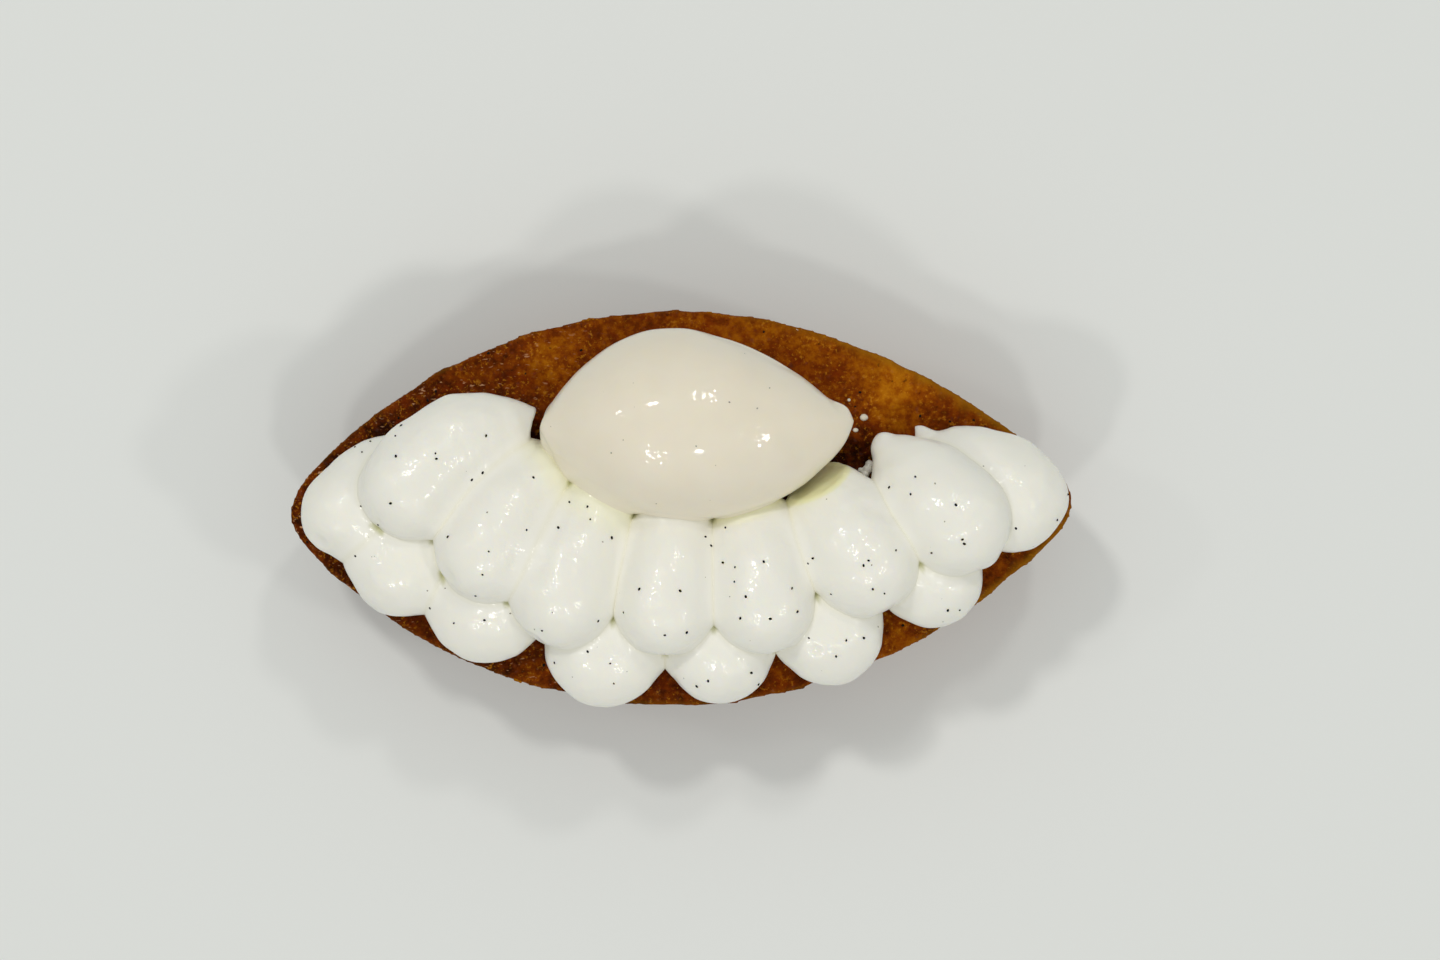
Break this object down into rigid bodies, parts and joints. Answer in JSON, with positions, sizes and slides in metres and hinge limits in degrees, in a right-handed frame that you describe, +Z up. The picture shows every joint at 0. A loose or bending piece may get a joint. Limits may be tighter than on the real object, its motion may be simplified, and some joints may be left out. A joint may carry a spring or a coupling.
{
  "type": "madeleine cake",
  "caption": "Boat-shaped tea cake with a flat top, piped cream dollops fanned along one edge in two rows, and a quenelle of vanilla ice cream.",
  "frame": {"origin": "centre of the cake's footprint, on the surface it rests on", "axes": "+X along the cake's length towards the quenelle's pointed end, +Y towards the back edge behind the quenelle, +Z up"},
  "size_m": [0.1254, 0.0639, 0.05],
  "materials": {
    "crust": "moist browned crust",
    "cream": "soft satin whipped cream",
    "ice_cream": "glossy, just melting",
    "vanilla_seed": "matt"
  },
  "bodies": {
    "root": {"cake": "crust", "cream_lower_1": "cream", "cream_lower_2": "cream", "cream_lower_3": "cream", "cream_lower_4": "cream", "cream_lower_5": "cream", "cream_lower_6": "cream", "cream_lower_7": "cream", "cream_lower_8": "cream", "cream_upper_1": "cream", "cream_upper_2": "cream", "cream_upper_3": "cream", "cream_upper_4": "cream", "cream_upper_5": "cream", "cream_upper_6": "cream", "cream_upper_7": "cream", "quenelle": "ice_cream"}
  },
  "joints": []
}
